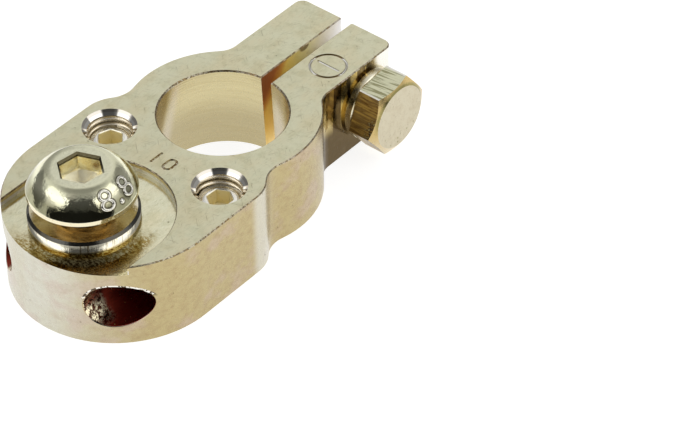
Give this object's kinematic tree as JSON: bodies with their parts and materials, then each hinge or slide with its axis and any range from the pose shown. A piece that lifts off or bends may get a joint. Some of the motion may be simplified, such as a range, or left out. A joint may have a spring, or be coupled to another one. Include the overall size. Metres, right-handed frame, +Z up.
{
  "type": "battery terminal clamp",
  "caption": "Split-ring battery terminal clamp with a tapered post bore, a hexagon clamp bolt, cable bores held by grub screws and a domed lug screw on a recessed tail.",
  "frame": {"origin": "on the post bore's axis, in the plane of the clamp's bottom face", "axes": "+X towards the side with the bolt head, +Y towards the split ears, +Z up through the post bore's narrow end"},
  "size_m": [0.0288, 0.0603, 0.0196],
  "materials": {
    "body_plate": "pale satin tin-nickel plating over brass, finely brushed on the top face",
    "screw_plate": "bright nickel plating",
    "washer_plate": "bright yellowish nickel plating on spring steel",
    "grub_plate": "satin nickel plating",
    "bolt_plate": "satin yellowish plating with fine turning lines"
  },
  "bodies": {
    "body": {"clamp_body": "body_plate", "lug_lock_washer": "washer_plate"},
    "lug_screw": {"lug_screw": "screw_plate"},
    "grub_left": {"grub_screw_left": "grub_plate"},
    "grub_right": {"grub_screw_right": "grub_plate"},
    "bolt_washer": {"clamp_lock_washer": "washer_plate"},
    "bolt": {"clamp_bolt": "bolt_plate"}
  },
  "joints": [
    {"name": "lug_screw_travel", "type": "slide", "parent": "body", "child": "lug_screw", "axis": [0, 0, 1], "range_m": [-0.0025, 0.00375]},
    {"name": "grub_left_travel", "type": "slide", "parent": "body", "child": "grub_left", "axis": [0, 0, 1], "range_m": [-0.002, 0.003]},
    {"name": "grub_right_travel", "type": "slide", "parent": "body", "child": "grub_right", "axis": [0, 0, 1], "range_m": [-0.002, 0.003]},
    {"name": "bolt_washer_travel", "type": "slide", "parent": "body", "child": "bolt_washer", "axis": [1, 0, 0], "range_m": [0, 0.003]},
    {"name": "bolt_turn", "type": "hinge", "parent": "bolt_washer", "child": "bolt", "pos_m": [0.0096, 0.01965, 0.00625], "axis": [1, 0, 0], "range_deg": [0, 1080]}
  ],
  "couplings": [
    {"joint": "bolt_turn", "follows": "bolt_washer_travel", "rad_per_m": 6283.2}
  ]
}
